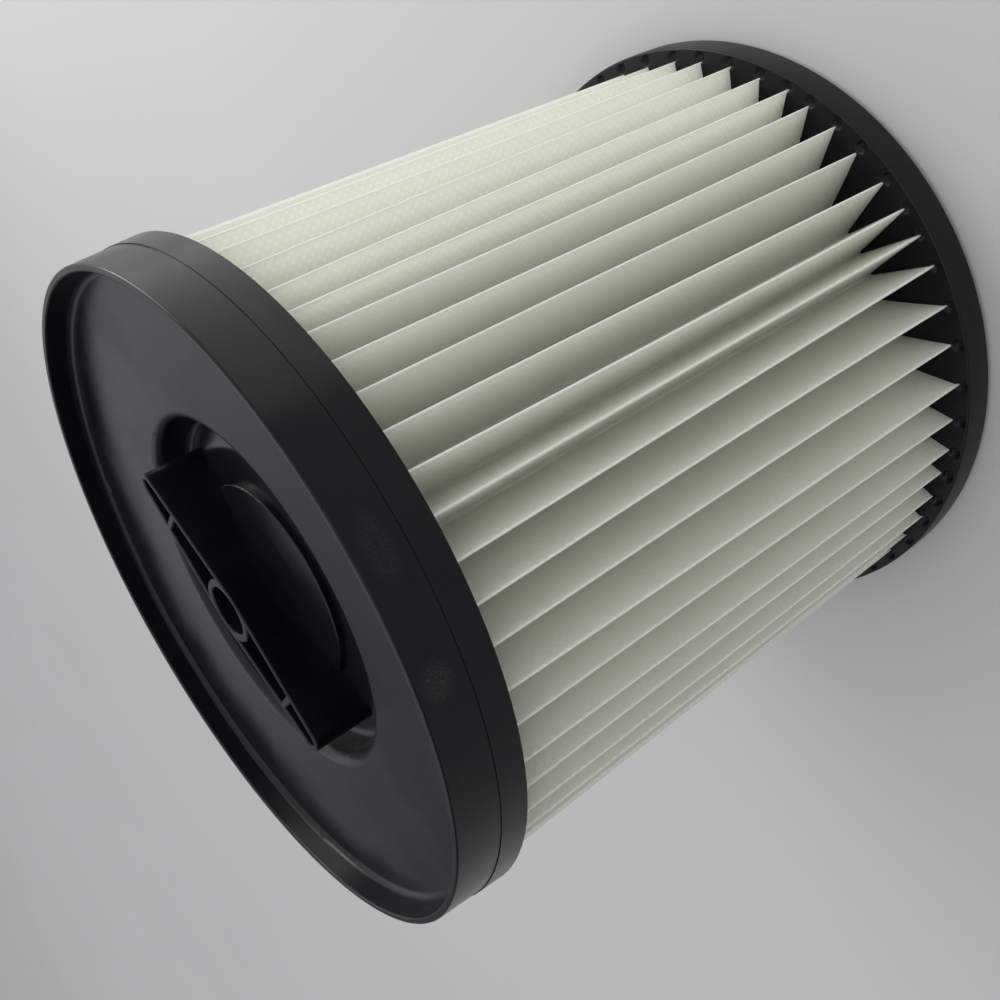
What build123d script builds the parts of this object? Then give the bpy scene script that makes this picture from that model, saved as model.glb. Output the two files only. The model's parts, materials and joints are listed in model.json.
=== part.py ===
"""Pleated cartridge filter of a wet and dry vacuum cleaner.

The filter stands on its open end, with the closed cap up. The axis is +Z and the
origin is the centre of the open face. All sizes are in millimetres.
"""

import os
from math import pi

from build123d import *

# Overall
rim_height = 172.0          # from the resting face to the plane of the cap's rim
rim_radius = 80.0

# Outer band of the closed cap
band_depth = 16.3
band_flare = 1.0            # growth in radius from the rim to the band's back edge
step_depth = 10.2           # parting step, below the rim
step_height = 0.2
skirt_wall = 1.9

# Dished face of the closed cap, with its depths below the rim
lip_width = 1.6
lip_round = 0.5
lip_draft = 0.4
dish_depth = 6.4
dish_drop = 1.6
dish_corner = 2.0
recess_radius = 43.0
recess_depth = 14.2
recess_draft = 1.7
recess_edge_round = 2.4
gutter_width = 7.3          # outer part of the recess floor, which falls towards the wall
gutter_drop = 2.8
gutter_round = 6.0
gutter_foot_round = 1.6
platform_radius = 25.2
platform_flat_radius = 17.5
platform_edge_height = 1.4
platform_rise = 1.0
platform_edge_round = 0.4
cap_wall = 2.2
seat_roof = 2.6             # plastic left between the dish and the pleat ends

# Grip bar
bar_length = 73.4
bar_half_width = 7.3
bar_end_radius = 3.2
bar_wall = 1.3
bar_sink = 0.3              # below the plane of the rim
bar_edge_break = 0.3
bar_rib_offset = 24.0
bar_rib_thickness = 1.8
boss_hole_radius = 6.05
boss_wall = 1.95

# Pleated media
pleat_count = 56
pleat_depth = 16.4
media_thickness = 0.6
crease_width = 0.9
tip_clearance = 1.5         # from the pleat tips to the inside of the cap's skirt
embed_depth = 3.5           # length of pack and cage held in each moulding

# Support cage
cage_clearance = 0.8        # from the pleat valleys to the cage
cage_wall = 1.8
cage_bars = 24
cage_bar_width = 3.0
cage_rows = 3
cage_hoop_width = 4.0

# Open ring
ring_thickness = 8.6
ring_land = 2.6             # from the cage to the ring's bore
ring_edge_break = 0.5
pin_mark_radius = 1.4       # marks of the mould's pins, one at each pleat tip
pin_mark_gap = 1.2          # from the pleat tips to the middles of the marks
pin_mark_depth = 1.0
pin_mark_sides = 8

# Face gasket
gasket_width = 9.0
gasket_sunk = 2.4           # height held in the ring's groove
gasket_proud = 1.2          # height that stands out of the ring
gasket_clearance = 0.1
gasket_edge_break = 0.6

# Levels
step_z = rim_height - step_depth
band_back_z = rim_height - band_depth
dish_outer_z = rim_height - dish_depth
dish_inner_z = dish_outer_z - dish_drop
dish_under_z = dish_inner_z - cap_wall
floor_z = rim_height - recess_depth
floor_under_z = floor_z - cap_wall
gutter_z = floor_z - gutter_drop
gutter_under_z = gutter_z - cap_wall
platform_edge_z = floor_z + platform_edge_height
platform_top_z = platform_edge_z + platform_rise
bar_top_z = rim_height - bar_sink
pack_top_z = dish_inner_z - seat_roof
seat_z = pack_top_z - embed_depth
ring_bottom_z = gasket_proud
ring_top_z = ring_bottom_z + ring_thickness
pack_bottom_z = ring_top_z - embed_depth

# Radii of the mouldings and the folds
step_radius = rim_radius + band_flare * step_depth / band_depth
end_radius = rim_radius + band_flare + step_height
skirt_radius = end_radius - skirt_wall
lip_radius = rim_radius - lip_width
dish_radius = lip_radius - lip_draft
tub_radius = recess_radius + cap_wall
recess_foot_radius = recess_radius - recess_draft
gutter_radius = recess_foot_radius - gutter_width
tip_radius = skirt_radius - tip_clearance
valley_radius = tip_radius - pleat_depth
half_pitch = 180 / pleat_count


def crease_radii():
    """Radius of the crease inside a tip, and of the flat crease under a valley."""
    crest = Vector(tip_radius, crease_width / 2)
    valley = Vector(valley_radius, 0).rotate(Axis.Z, half_pitch)
    along = (valley - crest).normalized()
    inner_start = crest + along.rotate(Axis.Z, 90) * media_thickness
    inside_tip = inner_start - along * (inner_start.Y / along.Y)
    outward = Vector(1, 0).rotate(Axis.Z, half_pitch)
    across = Vector(0, 1).rotate(Axis.Z, half_pitch)
    travel = (inner_start.dot(across) + crease_width / 2) / along.dot(across)
    under_valley = inner_start - along * travel
    return inside_tip.X, under_valley.dot(outward)


inside_tip_radius, under_valley_radius = crease_radii()
cage_radius = under_valley_radius - cage_clearance
cage_inner_radius = cage_radius - cage_wall
bore_radius = cage_inner_radius - ring_land
gasket_radius = (bore_radius + end_radius + gasket_width) / 2


def zigzag(crest, valley):
    """Closed fold line through crests and valleys, each given as a radius and a half width."""
    points = []
    for fold in range(2 * pleat_count):
        radius, half_width = valley if fold % 2 else crest
        for side in sorted({-half_width, half_width}):
            points.append(Vector(radius, side).rotate(Axis.Z, fold * half_pitch))
    return points


def pleat_section(plane):
    """Section of the folded sheet, closed round the axis."""
    with BuildSketch(plane) as section:
        with BuildLine():
            Polyline(*zigzag((tip_radius, crease_width / 2), (valley_radius, 0)), close=True)
        make_face()
        with BuildLine():
            Polyline(*zigzag((inside_tip_radius, 0), (under_valley_radius, crease_width / 2)), close=True)
        make_face(mode=Mode.SUBTRACT)
    return section.sketch


def tube_section(plane, outer_radius, inner_radius):
    """Flat ring on a plane."""
    with BuildSketch(plane) as section:
        Circle(outer_radius)
        Circle(inner_radius, mode=Mode.SUBTRACT)
    return section.sketch


def bar_outline(plane, inset):
    """Outline of the grip bar along Y, drawn in by an inset."""
    with BuildSketch(plane) as outline:
        Circle(bar_half_width - inset)
        with Locations((0, bar_length / 2 - bar_end_radius), (0, bar_end_radius - bar_length / 2)):
            Circle(bar_end_radius - inset)
        make_hull()
    return outline.sketch


os.makedirs("parts", exist_ok=True)

# Closed end cap: a turned form, a cored grip bar and the seats of pack and cage
cap_profile = [
    ((0, platform_top_z), 0),
    ((platform_flat_radius, platform_top_z), 0),
    ((platform_radius, platform_edge_z), platform_edge_round),
    ((platform_radius, floor_z), 0),
    ((gutter_radius, floor_z), gutter_round),
    ((recess_foot_radius, gutter_z), gutter_foot_round),
    ((recess_radius, dish_inner_z), recess_edge_round),
    ((dish_radius, dish_outer_z), dish_corner),
    ((lip_radius, rim_height), lip_round),
    ((rim_radius, rim_height), lip_round),
    ((step_radius, step_z), 0),
    ((step_radius + step_height, step_z), 0),
    ((end_radius, band_back_z), 0),
    ((skirt_radius, band_back_z), 0),
    ((skirt_radius, seat_z), 0),
    ((bore_radius, seat_z), 0),
    ((bore_radius, dish_under_z), 0),
    ((tub_radius, dish_under_z), 0),
    ((recess_foot_radius + cap_wall, gutter_under_z), 0),
    ((gutter_radius, floor_under_z), 0),
    ((0, floor_under_z), 0),
]

with BuildPart() as closed_end_cap:
    with BuildSketch(Plane.XZ) as cap_half:
        with BuildLine():
            FilletPolyline(
                *[point for point, radius in cap_profile],
                radius=[radius for point, radius in cap_profile],
                close=True,
            )
        make_face()
    revolve(axis=Axis.Z)
    bar_plane = Plane.XY.offset(bar_top_z)
    extrude(bar_outline(bar_plane, 0), amount=floor_under_z - bar_top_z)
    with BuildSketch(bar_plane) as bar_pockets:
        add(bar_outline(Plane.XY, bar_wall))
        Circle(boss_hole_radius + boss_wall, mode=Mode.SUBTRACT)
        with Locations((0, bar_rib_offset), (0, -bar_rib_offset)):
            Rectangle(2 * bar_half_width, bar_rib_thickness, mode=Mode.SUBTRACT)
        Circle(boss_hole_radius)
    extrude(amount=floor_z - bar_top_z, mode=Mode.SUBTRACT)
    bar_top = closed_end_cap.faces().filter_by(Axis.Z).filter_by_position(Axis.Z, bar_top_z, bar_top_z)
    chamfer(bar_top.edges(), bar_edge_break)
    seat_plane = Plane.XY.offset(seat_z)
    extrude(tube_section(seat_plane, cage_radius, cage_inner_radius), amount=embed_depth, mode=Mode.SUBTRACT)
    extrude(pleat_section(seat_plane), amount=embed_depth, mode=Mode.SUBTRACT)
closed_end_cap.part.label = "closed_end_cap"
export_step(closed_end_cap.part, "parts/closed_end_cap.step")

# Pleated media: one folded sheet, held at both ends
with BuildPart() as pleated_media:
    extrude(pleat_section(Plane.XY.offset(pack_bottom_z)), amount=pack_top_z - pack_bottom_z)
pleated_media.part.label = "pleated_media"
export_step(pleated_media.part, "parts/pleated_media.step")

# Support cage: a grid tube inside the valleys
window_width = 2 * pi * cage_radius / cage_bars - cage_bar_width
grid_height = seat_z - ring_top_z - cage_hoop_width
window_height = grid_height / cage_rows - cage_hoop_width
window_levels = [
    ring_top_z + cage_hoop_width + window_height / 2 + row * (window_height + cage_hoop_width)
    for row in range(cage_rows)
]

with BuildPart() as support_cage:
    extrude(
        tube_section(Plane.XY.offset(pack_bottom_z), cage_radius, cage_inner_radius),
        amount=pack_top_z - pack_bottom_z,
    )
    with Locations(*[(0, 0, level) for level in window_levels]):
        with PolarLocations(cage_radius, cage_bars):
            Box(4 * cage_wall, window_width, window_height, mode=Mode.SUBTRACT)
support_cage.part.label = "support_cage"
export_step(support_cage.part, "parts/support_cage.step")

# Open end ring: the seats of pack and cage and the pin marks above, the gasket's groove below
with BuildPart() as open_end_ring:
    with BuildSketch(Plane.XZ) as ring_half:
        with Locations((bore_radius, ring_bottom_z)):
            Rectangle(end_radius - bore_radius, ring_thickness, align=(Align.MIN, Align.MIN))
        chamfer(ring_half.vertices().group_by(Axis.X)[-1], ring_edge_break)
    revolve(axis=Axis.Z)
    extrude(
        tube_section(Plane.XY.offset(ring_bottom_z), gasket_radius, gasket_radius - gasket_width),
        amount=gasket_sunk,
        mode=Mode.SUBTRACT,
    )
    ring_seat = Plane.XY.offset(ring_top_z)
    extrude(tube_section(ring_seat, cage_radius, cage_inner_radius), amount=-embed_depth, mode=Mode.SUBTRACT)
    extrude(pleat_section(ring_seat), amount=-embed_depth, mode=Mode.SUBTRACT)
    with BuildSketch(ring_seat) as pin_marks:
        with PolarLocations(tip_radius + pin_mark_gap, pleat_count):
            RegularPolygon(pin_mark_radius, pin_mark_sides)
    extrude(amount=-pin_mark_depth, mode=Mode.SUBTRACT)
open_end_ring.part.label = "open_end_ring"
export_step(open_end_ring.part, "parts/open_end_ring.step")

# Face gasket: a soft ring that stands out of its groove
gasket_outer_radius = gasket_radius - gasket_clearance
gasket_inner_radius = gasket_radius - gasket_width + gasket_clearance

with BuildPart() as face_gasket:
    with BuildSketch(Plane.XZ) as gasket_half:
        with Locations((gasket_inner_radius, 0)):
            Rectangle(
                gasket_outer_radius - gasket_inner_radius,
                gasket_proud + gasket_sunk,
                align=(Align.MIN, Align.MIN),
            )
        chamfer(gasket_half.vertices().group_by(Axis.Y)[0], gasket_edge_break)
    revolve(axis=Axis.Z)
face_gasket.part.label = "face_gasket"
export_step(face_gasket.part, "parts/face_gasket.step")
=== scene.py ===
"""Looks of a pleated cartridge filter: its folded sheet, mouldings, materials, light and camera.

Lengths are in metres. The filter stands on its open ring, with its axis along +Z and its grip bar along Y.
"""

import json
from math import cos, pi, radians, sin, tau

import bmesh
import bpy
import numpy as np
from mathutils import Matrix, Quaternion, Vector


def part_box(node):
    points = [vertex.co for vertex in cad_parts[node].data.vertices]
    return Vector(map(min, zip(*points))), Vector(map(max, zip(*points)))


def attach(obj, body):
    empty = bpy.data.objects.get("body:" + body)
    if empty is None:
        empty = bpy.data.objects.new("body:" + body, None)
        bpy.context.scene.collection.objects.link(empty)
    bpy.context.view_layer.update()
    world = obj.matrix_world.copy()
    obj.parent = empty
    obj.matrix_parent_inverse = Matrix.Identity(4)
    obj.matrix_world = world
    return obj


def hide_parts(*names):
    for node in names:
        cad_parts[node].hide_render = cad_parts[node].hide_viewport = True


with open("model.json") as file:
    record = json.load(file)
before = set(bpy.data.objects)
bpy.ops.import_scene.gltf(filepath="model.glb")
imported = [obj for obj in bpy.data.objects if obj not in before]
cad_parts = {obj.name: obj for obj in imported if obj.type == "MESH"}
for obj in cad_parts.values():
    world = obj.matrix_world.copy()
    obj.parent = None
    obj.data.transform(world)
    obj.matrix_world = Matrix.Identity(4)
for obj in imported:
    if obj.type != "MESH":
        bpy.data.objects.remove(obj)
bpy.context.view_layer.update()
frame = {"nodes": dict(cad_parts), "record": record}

# Sizes taken from the frame
ring_low, ring_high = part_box("open_end_ring")
media_low, media_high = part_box("pleated_media")
cage_low, cage_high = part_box("support_cage")
gasket_low, gasket_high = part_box("face_gasket")
cap_low, cap_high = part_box("closed_end_cap")
end_radius = ring_high.x
tip_radius = media_high.x
bore_mount = next(m for m in frame["record"]["mounts"] if m["kind"] == "bore")
bore_radius = bore_mount["dims"]["r_mm"] / 1000

# Camera, at the viewing angle of the photograph
camera_place = Vector((0.24882, -0.04387, 0.24030))
camera_aim = Vector((-0.00128, -0.00919, 0.09744))
camera_roll = radians(-120.39)
camera_lens = 41.205

# Folded sheet
pleat_count = 56
pleat_depth = 0.0164
fold_radius = 0.0003
fold_arc_points = 6
panel_points = 3
sheet_rows = 44
panel_bow = 0.00022
# Places where the folds were pushed along the ring: angle, reach and shift in degrees
fold_drifts = [(-47, 8, -1.4), (-19, 8, 2.4), (32, 9, -1.6), (78, 20, 1.2), (130, 25, -1.5), (-110, 30, 1.3)]
fold_drift_all = -0.8
# How the crests lean between the ring and the cap: angle, reach and shift in degrees
crest_leans = [(-44, 12, 2.2), (-18, 6, -1.2), (-2, 9, 1.3), (36, 16, -3.2), (100, 30, 1.8), (170, 30, -2.0), (-100, 25, -1.6)]

# Dots where the fibres of the sheet are bonded, and the levels of the waves at their edge and middle
dot_pitch_along = 0.00227
dot_pitch_across = 0.0023
dot_edge = 0.15
dot_middle = 0.65

# Open ring, and the marks that the mould's pins left beside the pleat tips
ring_edge_round = 0.0005
gasket_width = 0.009
gasket_clearance = 0.0001
mark_radius = 0.0014
mark_gap = 0.0012
mark_depth = 0.0010
mark_zone = 0.0045
ring_segments = 56 * 22


def bumps(angles, places):
    """Sum of smooth shifts, each given by its angle, reach and size in degrees."""
    total = np.zeros_like(angles)
    for place, reach, size in places:
        away = (angles - place + 180) % 360 - 180
        total += size * np.exp(-((away / reach) ** 2))
    return total


def link(thing):
    """Shows a new object."""
    bpy.context.scene.collection.objects.link(thing)
    return thing


def smooth_object(name, points, faces):
    """A smooth-shaded mesh object from points and faces."""
    mesh = bpy.data.meshes.new(name)
    mesh.from_pydata([tuple(p) for p in points], [], faces)
    mesh.validate()
    mesh.shade_smooth()
    return link(bpy.data.objects.new(name, mesh))


# Folded sheet
def fold_corners(level, wander):
    """Corners of the fold line at a height given from 0 at the ring to 1 at the cap, crests first."""
    folds = np.arange(2 * pleat_count)
    regular = folds * 180 / pleat_count
    regular = (regular + 180) % 360 - 180
    shift = bumps(regular, fold_drifts) + fold_drift_all + wander["turn"]
    lean = bumps(regular, crest_leans)
    crest = folds % 2 == 0
    shift = shift + np.where(crest, lean, 0.35 * lean) * level
    shift = shift + np.where(crest, wander["sway"] * np.sin(pi * level), 0)
    out = np.where(crest, tip_radius, tip_radius - pleat_depth)
    out = out + np.where(crest, wander["reach"], 0)
    angle = np.radians(regular + shift)
    return np.stack([out * np.cos(angle), out * np.sin(angle)], 1)


def fold_line(level, wander):
    """Closed line of the sheet at a height given from 0 at the ring to 1 at the cap."""
    corner = fold_corners(level, wander)
    back = np.roll(corner, 1, 0) - corner
    ahead = np.roll(corner, -1, 0) - corner
    back /= np.linalg.norm(back, axis=1)[:, None]
    ahead /= np.linalg.norm(ahead, axis=1)[:, None]
    half = np.arccos(np.clip((back * ahead).sum(1), -1, 1))[:, None] / 2
    inward = (back + ahead) / np.linalg.norm(back + ahead, axis=1)[:, None]
    across = ahead - inward * (ahead * inward).sum(1)[:, None]
    across /= np.linalg.norm(across, axis=1)[:, None]
    # The round fold reaches its corner
    middle = corner + inward * fold_radius
    arcs = []
    for step in np.linspace(-1, 1, fold_arc_points):
        turn = step * (pi / 2 - half)
        arcs.append(middle + fold_radius * (across * np.sin(turn) - inward * np.cos(turn)))
    start = arcs[-1]
    end = np.roll(arcs[0], -1, 0)
    run = end - start
    normal = np.stack([run[:, 1], -run[:, 0]], 1)
    normal /= np.linalg.norm(normal, axis=1)[:, None]
    panels = []
    for share in np.linspace(0, 1, panel_points + 2)[1:-1]:
        bow = wander["bow"][:, None] * sin(pi * share) * sin(pi * level) ** 0.5
        panels.append(start + run * share + normal * bow)
    return np.stack(arcs + panels, 1).reshape(-1, 2)


def fold_wander():
    """Small unevenness of each fold, as the sheet was gathered by hand."""
    random = np.random.default_rng(56)
    folds = 2 * pleat_count
    return {
        "turn": random.normal(0, 0.25, folds),
        "sway": random.normal(0, 0.30, folds),
        "reach": random.normal(0, 0.00035, folds).clip(-0.0008, 0.0006),
        "bow": random.normal(0, panel_bow, folds),
    }


def folded_sheet(wander):
    """The pleated pack: one folded sheet, whose ends are held in the two mouldings, with its own length as UV."""
    low, high = media_low.z, media_high.z
    points = []
    heights = []
    for level in np.linspace(0, 1, sheet_rows):
        height = low + (high - low) * level
        points.extend((x, y, height) for x, y in fold_line(level, wander))
        heights.append(height)
    line = fold_line(0.5, wander)
    count = len(line)
    steps = np.linalg.norm(np.roll(line, -1, 0) - line, axis=1)
    across = np.concatenate([[0], np.cumsum(steps)])
    faces = []
    uv = []
    for row in range(sheet_rows - 1):
        here = row * count
        above = here + count
        bottom, top = heights[row], heights[row + 1]
        for i in range(count):
            j = (i + 1) % count
            faces.append((here + i, here + j, above + j, above + i))
            uv.extend([(across[i], bottom), (across[i + 1], bottom), (across[i + 1], top), (across[i], top)])
    piece = smooth_object("folded_sheet", points, faces)
    layer = piece.data.uv_layers.new(name="sheet")
    layer.data.foreach_set("uv", np.array(uv, np.float32).ravel())
    pleat_points = 2 * (fold_arc_points + panel_points)
    on_crest = np.arange(len(points)) % pleat_points < fold_arc_points
    crest = piece.data.attributes.new("crest", "FLOAT", "POINT")
    crest.data.foreach_set("value", on_crest.astype(np.float32))
    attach(piece, "root")
    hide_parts("pleated_media")
    return piece


# Open ring
def mark_places(wander):
    """Middles of the pin marks, one outside each pleat tip."""
    level = (ring_high.z - media_low.z) / (media_high.z - media_low.z)
    tips = fold_corners(level, wander)[::2]
    angles = np.arctan2(tips[:, 1], tips[:, 0])
    out = tip_radius + mark_gap
    return np.stack([out * np.cos(angles), out * np.sin(angles)], 1)


def ring_profile():
    """Half section of the ring as radius and height, from the bore's lower edge round to its upper edge."""
    low, high = ring_low.z, ring_high.z
    groove_out = gasket_high.x + gasket_clearance
    groove_in = groove_out - gasket_width
    line = [(bore_radius, low), (groove_in, low), (groove_in, gasket_high.z), (groove_out, gasket_high.z)]
    line.append((groove_out, low))
    for corner, start in ((low + ring_edge_round, -90), (high - ring_edge_round, 0)):
        for turn in np.radians(np.linspace(start, start + 90, 6)):
            out = end_radius - ring_edge_round * (1 - cos(turn))
            line.append((out, corner + ring_edge_round * sin(turn)))
    for out in np.linspace(end_radius - ring_edge_round, end_radius - ring_edge_round - mark_zone, 18)[1:]:
        line.append((out, high))
    line.append((bore_radius, high))
    return np.array(line)


def marked_ring(wander):
    """The open ring, turned from its section, with a dimple in its upper face outside each pleat tip."""
    profile = ring_profile()
    angles = np.arange(ring_segments) * tau / ring_segments
    radius, angle = np.meshgrid(profile[:, 0], angles)
    height = np.tile(profile[:, 1], (ring_segments, 1))
    points = np.stack([radius * np.cos(angle), radius * np.sin(angle), height], -1).reshape(-1, 3)
    upper = np.isclose(points[:, 2], ring_high.z)
    marks = mark_places(wander)
    away = np.linalg.norm(points[upper, None, :2] - marks[None], axis=2).min(1) / mark_radius
    share = np.clip((1.15 - away) / 0.5, 0, 1)
    points[upper, 2] -= mark_depth * share * share * (3 - 2 * share)
    count = len(profile)
    faces = []
    for i in range(ring_segments):
        here = i * count
        ahead = (i + 1) % ring_segments * count
        for k in range(count):
            j = (k + 1) % count
            faces.append((here + k, ahead + k, ahead + j, here + j))
    piece = smooth_object("marked_ring", points, faces)
    piece.data.set_sharp_from_angle(angle=radians(50))
    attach(piece, "root")
    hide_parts("open_end_ring")
    return piece


# Material helpers
def node(tree, kind, inputs=None, **settings):
    """Adds a shader node. An input is a value or the socket that it is linked to."""
    made = tree.nodes.new(kind)
    for name, value in settings.items():
        setattr(made, name, value)
    for name, value in (inputs or {}).items():
        if isinstance(value, bpy.types.NodeSocket):
            tree.links.new(value, made.inputs[name])
        else:
            made.inputs[name].default_value = value
    return made


def calc(tree, operation, first, second=0.0):
    """Result of a sum on one or two numbers."""
    return node(tree, "ShaderNodeMath", {0: first, 1: second}, operation=operation).outputs[0]


def spread(tree, value, low, high, to_low=0.0, to_high=1.0):
    """Maps a range of numbers smoothly to another one."""
    inputs = {"Value": value, "From Min": low, "From Max": high, "To Min": to_low, "To Max": to_high}
    return node(tree, "ShaderNodeMapRange", inputs, interpolation_type="SMOOTHSTEP").outputs[0]


def mixed(tree, share, first, second):
    """Mix of two colours."""
    return node(tree, "ShaderNodeMix", {0: share, 6: first, 7: second}, data_type="RGBA").outputs[2]


def noise(tree, place, scale, detail=3.0, stretch=(1, 1, 1)):
    """Noise from 0 to 1, with a scale in waves for each metre."""
    moved = node(tree, "ShaderNodeMapping", {"Vector": place, "Scale": stretch}).outputs[0]
    return node(tree, "ShaderNodeTexNoise", {"Vector": moved, "Scale": scale, "Detail": detail}).outputs[0]


def bump(tree, height, distance, strength=1.0, under=None):
    """A bump, on top of another one if that is given."""
    inputs = {"Height": height, "Distance": distance, "Strength": strength}
    if under is not None:
        inputs["Normal"] = under
    return node(tree, "ShaderNodeBump", inputs).outputs[0]


def new_material(name):
    """A material with its tree, its shader and the place on the object."""
    made = bpy.data.materials.new(name)
    made.use_nodes = True
    tree = made.node_tree
    place = node(tree, "ShaderNodeTexCoord").outputs["Object"]
    return made, tree, tree.nodes["Principled BSDF"], place


def dress(piece, finish):
    """Gives a piece its material."""
    piece.data.materials.clear()
    piece.data.materials.append(finish)


# Materials
def media_material():
    """Point-bonded nonwoven: pale fibres with rows of small bonded dots that let more light through, painted
    lighter for the light that shines through them, and a painted highlight along each crest.
    """
    made, tree, shader, place = new_material("media_nonwoven")
    uv = node(tree, "ShaderNodeUVMap", uv_map="sheet").outputs[0]
    parts = node(tree, "ShaderNodeSeparateXYZ", {0: uv})
    across = calc(tree, "COSINE", calc(tree, "MULTIPLY", parts.outputs[0], tau / dot_pitch_across))
    along = calc(tree, "COSINE", calc(tree, "MULTIPLY", parts.outputs[1], tau / dot_pitch_along))
    # The product of the two waves peaks at the staggered places of the dots
    dots = spread(tree, calc(tree, "MULTIPLY", across, along), dot_edge, dot_middle)
    fibres = noise(tree, uv, 1500, 1.0, (1, 0.4, 1))
    loose = mixed(tree, fibres, (0.920, 0.926, 0.850, 1), (0.970, 0.974, 0.908, 1))
    # Painted highlight: the crest of each fold is painted near white, with a scalloped edge from the rows of dots,
    # and less light goes through it
    fold = node(tree, "ShaderNodeAttribute", attribute_name="crest").outputs["Fac"]
    painted_crest_highlight = spread(tree, calc(tree, "ADD", fold, calc(tree, "MULTIPLY", along, 0.035)), 0.93, 0.99)
    # The near-white colour is painted light: on the dots it stands for light shining through them, and on the
    # crests it is a painted highlight
    bright = mixed(tree, calc(tree, "MAXIMUM", dots, painted_crest_highlight), loose, (0.990, 0.990, 0.948, 1))
    tree.links.new(bright, shader.inputs["Base Color"])
    tree.links.new(spread(tree, dots, 0.0, 1.0, 0.82, 0.5), shader.inputs["Roughness"])
    shader.inputs["Specular IOR Level"].default_value = 0.0
    through = node(tree, "ShaderNodeBsdfTranslucent", {"Color": bright})
    share = spread(tree, dots, 0.0, 1.0, 0.56, 0.78)
    # Less light goes through the sheet under the painted crest highlight
    share = calc(tree, "MULTIPLY", share, spread(tree, painted_crest_highlight, 0.0, 1.0, 1.0, 0.25))
    both = node(tree, "ShaderNodeMixShader", {0: share, 1: shader.outputs[0], 2: through.outputs[0]})
    tree.links.new(both.outputs[0], tree.nodes["Material Output"].inputs["Surface"])
    return made


def mark(tree, angle, height, place, reach):
    """A soft oval on the turned outside, 1 in its middle. place and reach are an angle in degrees and a height."""
    x = calc(tree, "DIVIDE", calc(tree, "SUBTRACT", angle, radians(place[0])), radians(reach[0]))
    y = calc(tree, "DIVIDE", calc(tree, "SUBTRACT", height, place[1]), reach[1])
    away = calc(tree, "ADD", calc(tree, "MULTIPLY", x, x), calc(tree, "MULTIPLY", y, y))
    return spread(tree, away, 1.0, 0.1)


def moulded_material(name, colour, dust, roughness, scuffs=()):
    """Moulded plastic with faint clouds of dust and, where they are given, scuffs on its turned outside."""
    made, tree, shader, place = new_material(name)
    clouds = noise(tree, place, 45, 2.0)
    specks = spread(tree, noise(tree, place, 1400, 0.0), 0.74, 0.80)
    dusty = calc(tree, "ADD", spread(tree, clouds, 0.35, 0.75, 0.0, 0.35), calc(tree, "MULTIPLY", specks, 0.6))
    base = mixed(tree, dusty, colour, dust)
    shader.inputs["Specular IOR Level"].default_value = 0.25
    rough = spread(tree, clouds, 0.3, 0.8, roughness - 0.05, roughness + 0.08)
    if scuffs:
        x, y, height = node(tree, "ShaderNodeSeparateXYZ", {0: place}).outputs
        angle = calc(tree, "ARCTAN2", y, x)
        out = calc(tree, "ADD", calc(tree, "MULTIPLY", x, x), calc(tree, "MULTIPLY", y, y))
        worn = None
        for where, reach, strength in scuffs:
            spot = calc(tree, "MULTIPLY", mark(tree, angle, height, where, reach), strength)
            worn = spot if worn is None else calc(tree, "MAXIMUM", worn, spot)
        worn = calc(tree, "MULTIPLY", worn, spread(tree, out, scuff_radius ** 2, cap_high.x ** 2))
        grain = spread(tree, noise(tree, place, 5000, 2.0, (1, 1, 0.25)), 0.30, 0.85)
        worn = calc(tree, "MULTIPLY", worn, grain)
        base = mixed(tree, worn, base, (0.040, 0.041, 0.042, 1))
        rough = calc(tree, "ADD", rough, calc(tree, "MULTIPLY", worn, 0.2))
    tree.links.new(base, shader.inputs["Base Color"])
    tree.links.new(rough, shader.inputs["Roughness"])
    tree.links.new(bump(tree, noise(tree, place, 60, 1.0), 0.0001, 0.25), shader.inputs["Normal"])
    return made


# Scene around the filter
def studio():
    """Pale floor that rises far out, a plain sky and a soft window on one side."""
    scene = bpy.context.scene
    scene.view_settings.view_transform = "Standard"
    # Light crosses many folds of the sheet before it comes out
    scene.cycles.max_bounces = 6
    scene.cycles.diffuse_bounces = 4
    floor = pale_floor()
    made, tree, shader, place = new_material("floor_pale")
    tone = mixed(tree, noise(tree, place, 4, 1.0), (0.53, 0.53, 0.525, 1), (0.56, 0.56, 0.555, 1))
    tree.links.new(tone, shader.inputs["Base Color"])
    shader.inputs["Roughness"].default_value = 0.9
    shader.inputs["Specular IOR Level"].default_value = 0.1
    dress(floor, made)
    scene.world = sky()
    soft_lamp("window", Vector((-0.05, 0.80, 0.34)), Vector((0, 0, 0.09)), 0.50, 0.40, 3.3)
    soft_lamp("low_panel", Vector((0.15, 0.29, 0.06)), Vector((0, 0, 0.10)), 0.44, 0.12, 0.16)
    soft_lamp("front_fill", Vector((0.80, -0.20, 0.55)), Vector((0, 0, 0.09)), 0.60, 0.60, 0.6)


def pale_floor():
    """A wide disc with a raised edge."""
    rings = [(0.0, 0.0), (2.0, 0.0), (2.6, 0.05), (3.0, 0.2), (3.2, 0.45)]
    turns = 96
    points = [(0, 0, 0)]
    faces = []
    for out, height in rings[1:]:
        points.extend((out * cos(i * tau / turns), out * sin(i * tau / turns), height) for i in range(turns))
    for i in range(turns):
        faces.append((0, 1 + i, 1 + (i + 1) % turns))
    for ring in range(len(rings) - 2):
        low = 1 + ring * turns
        for i in range(turns):
            j = (i + 1) % turns
            faces.append((low + i, low + turns + i, low + turns + j, low + j))
    return smooth_object("floor", points, faces)


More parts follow.
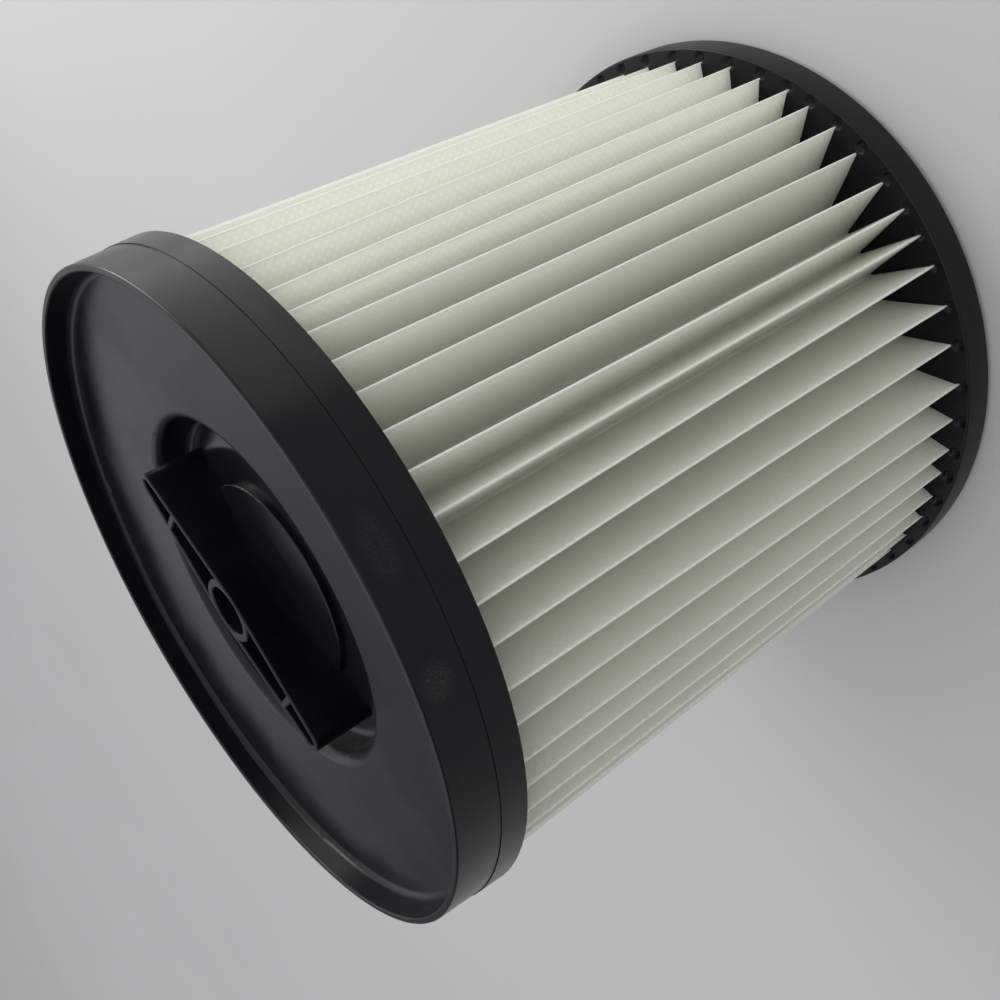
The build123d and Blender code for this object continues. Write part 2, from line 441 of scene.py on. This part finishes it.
def sky():
    """Soft light that grows with height and towards the window's side."""
    world = bpy.data.worlds.new("sky")
    world.use_nodes = True
    tree = world.node_tree
    towards = node(tree, "ShaderNodeTexCoord").outputs["Generated"]
    rise = node(tree, "ShaderNodeVectorMath", {0: towards, 1: (0.0, 1.3, 3.3)}, operation="DOT_PRODUCT")
    level = node(tree, "ShaderNodeMath", {0: rise.outputs["Value"], 1: -0.85}, operation="ADD")
    held = node(tree, "ShaderNodeClamp", {"Value": level.outputs[0], "Min": 0.12, "Max": 1.0})
    light = tree.nodes["Background"]
    light.inputs["Color"].default_value = (0.96, 0.98, 1.0, 1)
    tree.links.new(held.outputs[0], light.inputs["Strength"])
    return world


def soft_lamp(name, place, aim, width, height, power):
    """An area lamp that looks at a point."""
    lamp = bpy.data.lights.new(name, "AREA")
    lamp.shape = "RECTANGLE"
    lamp.size = width
    lamp.size_y = height
    lamp.energy = power
    lamp.color = (1.0, 0.99, 0.96)
    made = link(bpy.data.objects.new(name, lamp))
    made.location = place
    made.rotation_mode = "QUATERNION"
    made.rotation_quaternion = (aim - place).to_track_quat("-Z", "Y")
    return made


def camera():
    """Camera that looks at the filter's axis, rolled so that the filter lies across the picture."""
    eye = bpy.data.cameras.new("camera")
    eye.lens = camera_lens
    made = link(bpy.data.objects.new("camera", eye))
    made.location = camera_place
    made.rotation_mode = "QUATERNION"
    level = (camera_aim - camera_place).to_track_quat("-Z", "Y")
    made.rotation_quaternion = level @ Quaternion((0, 0, 1), camera_roll)
    bpy.context.scene.camera = made


wander = fold_wander()
media = folded_sheet(wander)
dress(media, media_material())
black = (0.0030, 0.0042, 0.0052, 1)
dust = (0.010, 0.0105, 0.011, 1)
natural = (0.74, 0.73, 0.69, 1)
yellowed = (0.70, 0.68, 0.61, 1)
# Scuffs on the cap's band: angle in degrees and height, how far they reach, and strength
scuff_radius = 0.075
band_scuffs = [
    ((-30, 0.1676), (3.4, 0.0040), 1.0),
    ((-12, 0.1668), (6.0, 0.0036), 0.45),
    ((21, 0.1605), (7.0, 0.0030), 0.40),
]
dress(frame["nodes"]["closed_end_cap"], moulded_material("cap_plastic", black, dust, 0.28, band_scuffs))
dress(marked_ring(wander), moulded_material("ring_plastic", black, dust, 0.40))
dress(frame["nodes"]["support_cage"], moulded_material("cage_plastic", natural, yellowed, 0.50))
dress(frame["nodes"]["face_gasket"], moulded_material("gasket_rubber", (0.04, 0.04, 0.042, 1), dust, 0.70))
studio()
camera()
